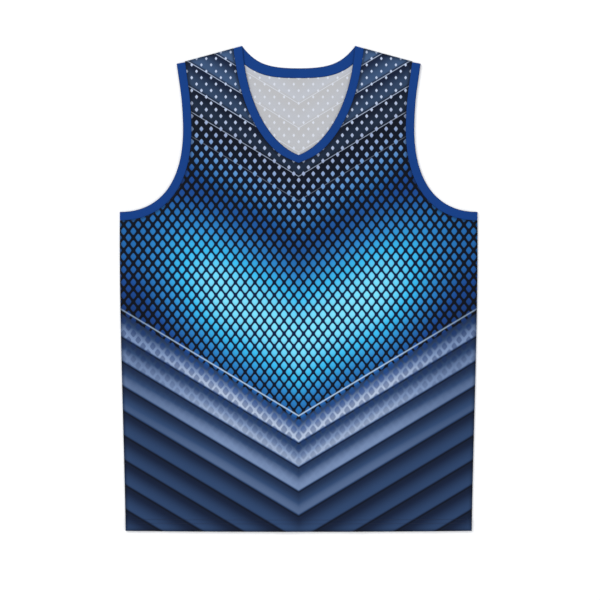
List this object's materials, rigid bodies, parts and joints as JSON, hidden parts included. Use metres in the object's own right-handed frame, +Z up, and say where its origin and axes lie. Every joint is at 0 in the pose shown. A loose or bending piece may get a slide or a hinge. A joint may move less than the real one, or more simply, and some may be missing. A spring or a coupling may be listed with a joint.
{
  "type": "basketball jersey",
  "caption": "Sleeveless V-necked sports top lying flat, face up, with ribbed bands round the neck and armholes; it rests on its back panel.",
  "frame": {"origin": "centre of the garment's outline, on the surface that its back panel rests on", "axes": "+X towards the wearer's left side (the viewer's right), +Y from the hem to the neck, +Z up, out of the front"},
  "size_m": [0.5596, 0.7597, 0.0045],
  "materials": {
    "printed_cloth": "smooth knitted polyester with a blue print, satin",
    "cloth_inside": "unprinted pale grey inside of knitted polyester, matt",
    "blue_rib": "plain blue fine rib knit, matt"
  },
  "bodies": {
    "root": {"front_panel": "printed_cloth", "back_panel": "cloth_inside", "neckband": "blue_rib", "armband_left": "blue_rib", "armband_right": "blue_rib"}
  },
  "joints": []
}
